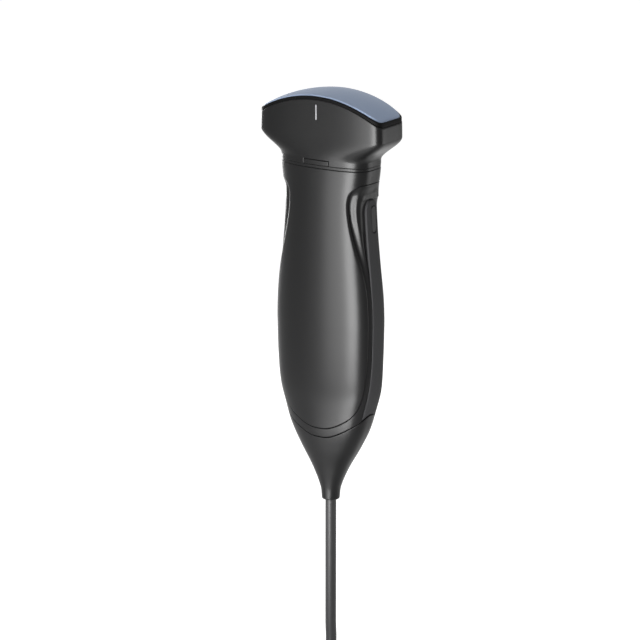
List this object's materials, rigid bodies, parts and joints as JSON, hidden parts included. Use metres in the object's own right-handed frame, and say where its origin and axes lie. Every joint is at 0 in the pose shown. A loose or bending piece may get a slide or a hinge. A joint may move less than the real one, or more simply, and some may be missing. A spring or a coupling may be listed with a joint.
{
  "type": "bladder scanner probe",
  "caption": "Handheld convex ultrasound probe of a bladder scanner, with a flared head, a curved lens, a waisted grip, a side key, a tapered boot and a coiled cable with a plug.",
  "frame": {"origin": "middle of the neck seam between the nose and the handle, on the probe's long axis", "axes": "+Z along the probe to the lens, -Y out of the front panel, +X to the side with the scan key"},
  "size_m": [0.0872, 0.1077, 0.3054],
  "materials": {
    "lens_silicone": "satin",
    "seal_rubber": "matte",
    "housing_plastic": "satin",
    "mark_ink": "matte",
    "pad_rubber": "matte",
    "key_plastic": "satin",
    "boot_elastomer": "satin",
    "cable_jacket": "satin",
    "matching_resin": "satin",
    "piezo_ceramic": "matte",
    "backing_resin": "matte",
    "frame_plastic": "matte",
    "film_polyimide": "gloss",
    "board_laminate": "satin",
    "socket_plastic": "matte",
    "chip_resin": "matte",
    "shield_steel": "brushed",
    "spreader_aluminium": "satin",
    "screw_steel": "satin",
    "wire_insulation": "satin",
    "contact_gold": "polished"
  },
  "bodies": {
    "probe": {"acoustic_lens": "lens_silicone", "lens_gasket": "seal_rubber", "nose_housing": "housing_plastic", "centre_mark": "mark_ink", "latch_tab": "housing_plastic", "matching_layer": "matching_resin", "piezo_array": "piezo_ceramic", "backing_block": "backing_resin", "array_carrier": "frame_plastic", "flex_front": "film_polyimide", "flex_rear": "film_polyimide", "neck_seal": "seal_rubber", "front_cover": "housing_plastic", "rear_cover": "housing_plastic", "grip_pad_right": "pad_rubber", "grip_pad_left": "pad_rubber", "key_switch": "screw_steel", "switch_board": "board_laminate", "inner_frame": "frame_plastic", "main_board": "board_laminate", "flex_sockets": "socket_plastic", "beamformer_chips": "chip_resin", "shield_can": "shield_steel", "heat_spreader": "spreader_aluminium", "board_screws": "screw_steel", "cable_header": "socket_plastic", "cable_wires": "wire_insulation", "cable_clamp": "frame_plastic", "clamp_screws": "screw_steel", "crimp_ring": "screw_steel", "cable_core": "cable_jacket", "cable_boot": "boot_elastomer", "cable_drop": "cable_jacket", "cable_coil": "cable_jacket", "cable_tail": "cable_jacket", "plug_relief": "boot_elastomer", "plug_body": "boot_elastomer", "plug_shell": "shield_steel", "plug_insert": "chip_resin", "plug_contacts": "contact_gold"},
    "scan_button": {"scan_button": "key_plastic"}
  },
  "joints": [
    {"name": "scan_button_slide", "type": "slide", "parent": "probe", "child": "scan_button", "axis": [-1, 0, 0], "range_m": [0, 0.0006], "stiffness_N_per_m": 3000}
  ]
}
